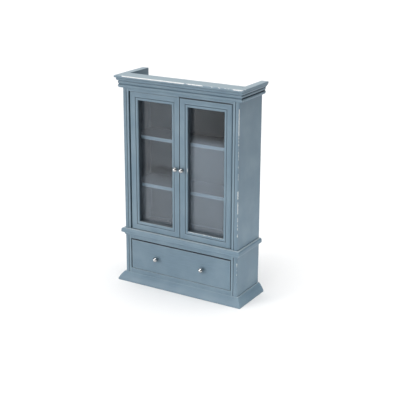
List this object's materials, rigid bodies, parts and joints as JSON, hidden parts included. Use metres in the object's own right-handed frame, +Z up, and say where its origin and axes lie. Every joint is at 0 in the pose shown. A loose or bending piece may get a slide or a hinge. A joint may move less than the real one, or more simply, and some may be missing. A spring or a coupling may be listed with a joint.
{
  "type": "miniature glazed cupboard",
  "caption": "Dolls' house display cupboard: a pair of glazed doors over a shelved case, a drawer below, moulded cornice, waist and plinth.",
  "frame": {"origin": "middle of the footprint, on the surface that the cupboard stands on", "axes": "+X to the right seen from the front, +Y towards the back, +Z up"},
  "size_m": [0.1, 0.035, 0.15],
  "materials": {
    "painted_wood": "satin blue-grey paint over wood, worn pale on the edges",
    "clear_pane": "clear polished sheet",
    "bright_metal": "polished, slightly tarnished",
    "pin_steel": "plain drawn wire"
  },
  "bodies": {
    "cabinet": {"back_panel": "painted_wood", "cornice_front": "painted_wood", "cornice_left": "painted_wood", "cornice_right": "painted_wood", "cupboard_floor": "painted_wood", "drawer_bay_floor": "painted_wood", "face_rail_bottom": "painted_wood", "face_rail_top": "painted_wood", "face_rail_waist": "painted_wood", "face_stile_left": "painted_wood", "face_stile_right": "painted_wood", "hinge_pin_left_bottom": "pin_steel", "hinge_pin_left_top": "pin_steel", "hinge_pin_right_bottom": "pin_steel", "hinge_pin_right_top": "pin_steel", "plinth_front": "painted_wood", "plinth_left": "painted_wood", "plinth_right": "painted_wood", "shelf_lower": "painted_wood", "shelf_upper": "painted_wood", "side_panel_left": "painted_wood", "side_panel_right": "painted_wood", "top_board": "painted_wood", "waist_moulding_front": "painted_wood", "waist_moulding_left": "painted_wood", "waist_moulding_right": "painted_wood"},
    "door_left": {"door_left_hinge_stile": "painted_wood", "door_left_knob": "bright_metal", "door_left_meeting_stile": "painted_wood", "door_left_pane": "clear_pane", "door_left_rail_bottom": "painted_wood", "door_left_rail_top": "painted_wood", "door_left_stop_bottom": "painted_wood", "door_left_stop_left": "painted_wood", "door_left_stop_right": "painted_wood", "door_left_stop_top": "painted_wood"},
    "door_right": {"door_right_hinge_stile": "painted_wood", "door_right_knob": "bright_metal", "door_right_meeting_stile": "painted_wood", "door_right_pane": "clear_pane", "door_right_rail_bottom": "painted_wood", "door_right_rail_top": "painted_wood", "door_right_stop_bottom": "painted_wood", "door_right_stop_left": "painted_wood", "door_right_stop_right": "painted_wood", "door_right_stop_top": "painted_wood"},
    "drawer": {"drawer_back": "painted_wood", "drawer_base": "painted_wood", "drawer_front": "painted_wood", "drawer_knob_left": "bright_metal", "drawer_knob_right": "bright_metal", "drawer_side_left": "painted_wood", "drawer_side_right": "painted_wood"}
  },
  "joints": [
    {"name": "door_left_hinge", "type": "hinge", "parent": "cabinet", "child": "door_left", "pos_m": [-0.038, -0.01135, 0.08952], "axis": [0, 0, -1], "range_deg": [0, 100]},
    {"name": "door_right_hinge", "type": "hinge", "parent": "cabinet", "child": "door_right", "pos_m": [0.038, -0.01135, 0.08952], "axis": [0, 0, 1], "range_deg": [0, 100]},
    {"name": "drawer_slide", "type": "slide", "parent": "cabinet", "child": "drawer", "axis": [0, -1, 0], "range_m": [0, 0.018]}
  ]
}
